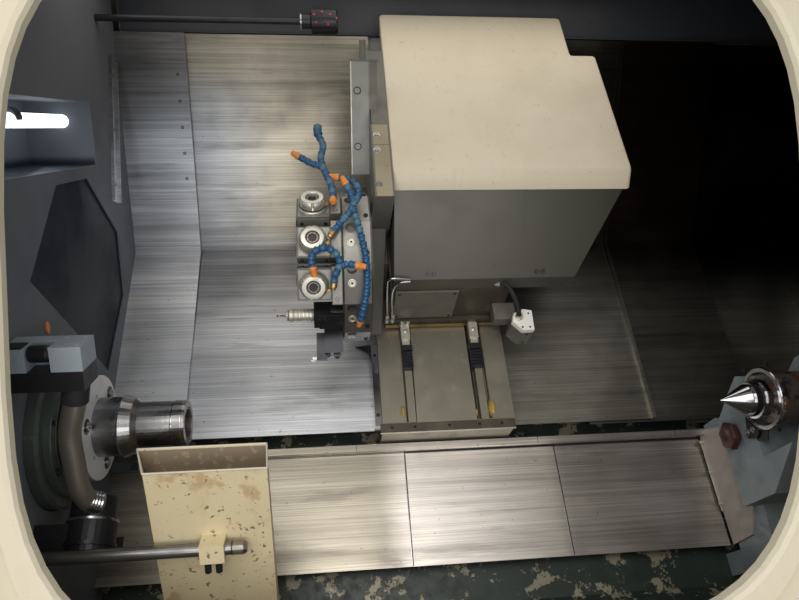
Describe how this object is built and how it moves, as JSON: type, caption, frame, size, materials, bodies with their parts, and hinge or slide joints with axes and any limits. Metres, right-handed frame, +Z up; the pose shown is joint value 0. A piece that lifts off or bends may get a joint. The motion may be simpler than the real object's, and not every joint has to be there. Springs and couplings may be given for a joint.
{
  "type": "cnc turning lathe",
  "caption": "Slant-bed turning centre: collet chuck spindle, driven tool turret, sliding way covers, tailstock with live centre, parts catcher, sliding door, swing panel and chip conveyor.",
  "frame": {"origin": "on the floor, under the middle of the machine's footprint", "axes": "+X along the spindle from the chuck to the tailstock, -Y towards the operator, +Z up"},
  "size_m": [4.18, 1.806, 2.11],
  "materials": {
    "cast_green": "painted, chipped",
    "grey_casting": "painted grey, oily",
    "dark_sheet": "satin dark grey-blue",
    "stainless": "brushed along the machine",
    "cream_paint": "cream, scuffed",
    "white_paint": "off-white",
    "polished_steel": "ground and polished",
    "machined_steel": "turned",
    "black_steel": "blackened",
    "lamp_glass": "opal tube, lit",
    "blue_plastic": "blue ball segments",
    "rubber": "matt",
    "window_glass": "clear laminated",
    "stop_red": "red cap"
  },
  "bodies": {
    "machine": {"machine_base": "cast_green", "slant_bed": "cast_green", "headstock_casting": "grey_casting", "front_bearing": "machined_steel", "rear_bearing": "machined_steel", "spindle_motor": "grey_casting", "drive_belt": "rubber", "splash_wall": "dark_sheet", "work_lamp": "lamp_glass", "side_cover": "stainless", "front_covers": "stainless", "right_wall": "dark_sheet", "front_casing": "cream_paint", "left_casing": "white_paint", "right_casing": "white_paint", "rear_casing": "white_paint", "opening_ring": "cream_paint", "panel_arm": "white_paint", "chip_conveyor": "cream_paint", "coolant_tank": "cream_paint", "setter_base": "black_steel", "signal_receiver": "black_steel"},
    "spindle": {"spindle_shaft": "machined_steel", "spindle_pulley": "machined_steel", "chuck_cylinder": "grey_casting", "chuck_plate": "machined_steel", "collet_chuck": "polished_steel"},
    "motor_wheel": {"motor_pulley": "machined_steel"},
    "carriage": {"saddle": "grey_casting", "left_cover": "stainless", "right_cover": "stainless"},
    "sliding_cover": {"middle_cover": "stainless"},
    "cross_carriage": {"cross_slide": "grey_casting", "turret_casting": "grey_casting", "turret_housing": "cream_paint", "turret_cover": "cream_paint", "junction_box": "white_paint"},
    "turret": {"turret_disc": "grey_casting", "driven_head_1": "machined_steel", "driven_head_2": "machined_steel", "driven_head_3": "machined_steel", "touch_probe": "black_steel", "tool_block": "black_steel", "branch_hose": "blue_plastic", "long_hose": "blue_plastic", "loop_hose": "blue_plastic"},
    "driven_collet_1": {"collet_nut_1": "machined_steel"},
    "driven_collet_2": {"collet_nut_2": "machined_steel"},
    "driven_collet_3": {"collet_nut_3": "machined_steel"},
    "tailstock": {"tailstock_casting": "grey_casting", "scraper_plate": "stainless"},
    "tailstock_quill": {"quill": "machined_steel"},
    "centre_point": {"live_centre": "polished_steel"},
    "catcher": {"catcher_bar": "black_steel", "catcher_chute": "cream_paint"},
    "setter": {"setter_arm": "black_steel"},
    "door": {"door_panel": "white_paint", "door_window": "window_glass"},
    "operator_panel": {"control_panel": "white_paint"},
    "emergency_stop": {"stop_button": "stop_red"}
  },
  "joints": [
    {"name": "spindle_turn", "type": "hinge", "parent": "machine", "child": "spindle", "pos_m": [-0.69, -0.147, 1.05], "axis": [1, 0, 0], "continuous": true},
    {"name": "motor_turn", "type": "hinge", "parent": "machine", "child": "motor_wheel", "pos_m": [-1.86, -0.407, 0.43], "axis": [1, 0, 0], "continuous": true},
    {"name": "carriage_travel", "type": "slide", "parent": "machine", "child": "carriage", "axis": [1, 0, 0], "range_m": [-0.34, 0.11]},
    {"name": "sliding_cover_travel", "type": "slide", "parent": "machine", "child": "sliding_cover", "axis": [1, 0, 0], "range_m": [-0.17, 0.055]},
    {"name": "cross_travel", "type": "slide", "parent": "carriage", "child": "cross_carriage", "axis": [0, -0.7071, -0.7071], "range_m": [-0.03, 0.22]},
    {"name": "turret_index", "type": "hinge", "parent": "cross_carriage", "child": "turret", "pos_m": [-0.135, 0.1316, 1.3286], "axis": [1, 0, 0], "range_deg": [-90, 200]},
    {"name": "driven_collet_1_turn", "type": "hinge", "parent": "turret", "child": "driven_collet_1", "pos_m": [-0.235, 0.1316, 1.3286], "axis": [0, -0.5, 0.866], "continuous": true},
    {"name": "driven_collet_2_turn", "type": "hinge", "parent": "turret", "child": "driven_collet_2", "pos_m": [-0.235, 0.1316, 1.3286], "axis": [0, -0.866, 0.5], "continuous": true},
    {"name": "driven_collet_3_turn", "type": "hinge", "parent": "turret", "child": "driven_collet_3", "pos_m": [-0.235, 0.1316, 1.3286], "axis": [0, -1, 0], "continuous": true},
    {"name": "tailstock_travel", "type": "slide", "parent": "machine", "child": "tailstock", "axis": [1, 0, 0], "range_m": [-0.45, 0.03]},
    {"name": "quill_travel", "type": "slide", "parent": "tailstock", "child": "tailstock_quill", "axis": [1, 0, 0], "range_m": [-0.1, 0.04]},
    {"name": "centre_turn", "type": "hinge", "parent": "tailstock_quill", "child": "centre_point", "pos_m": [0.77, -0.147, 1.05], "axis": [1, 0, 0], "continuous": true},
    {"name": "catcher_swing", "type": "hinge", "parent": "machine", "child": "catcher", "pos_m": [-0.43, -0.392, 0.908], "axis": [-1, 0, 0], "range_deg": [0, 45]},
    {"name": "setter_swing", "type": "hinge", "parent": "machine", "child": "setter", "pos_m": [-0.6803, -0.2795, 0.907], "axis": [0, -0.7071, -0.7071], "range_deg": [-75, 0]},
    {"name": "door_slide", "type": "slide", "parent": "machine", "child": "door", "axis": [1, 0, 0], "range_m": [0, 1.34]},
    {"name": "panel_swing", "type": "hinge", "parent": "machine", "child": "operator_panel", "pos_m": [1.33, -0.807, 1.24], "axis": [0, 0, 1], "range_deg": [0, 70]},
    {"name": "stop_press", "type": "slide", "parent": "operator_panel", "child": "emergency_stop", "axis": [0, 1, 0], "range_m": [0, 0.006], "stiffness_N_per_m": 800}
  ],
  "couplings": [
    {"joint": "motor_turn", "follows": "spindle_turn", "ratio": 1.6667},
    {"joint": "sliding_cover_travel", "follows": "carriage_travel", "ratio": 0.5}
  ]
}
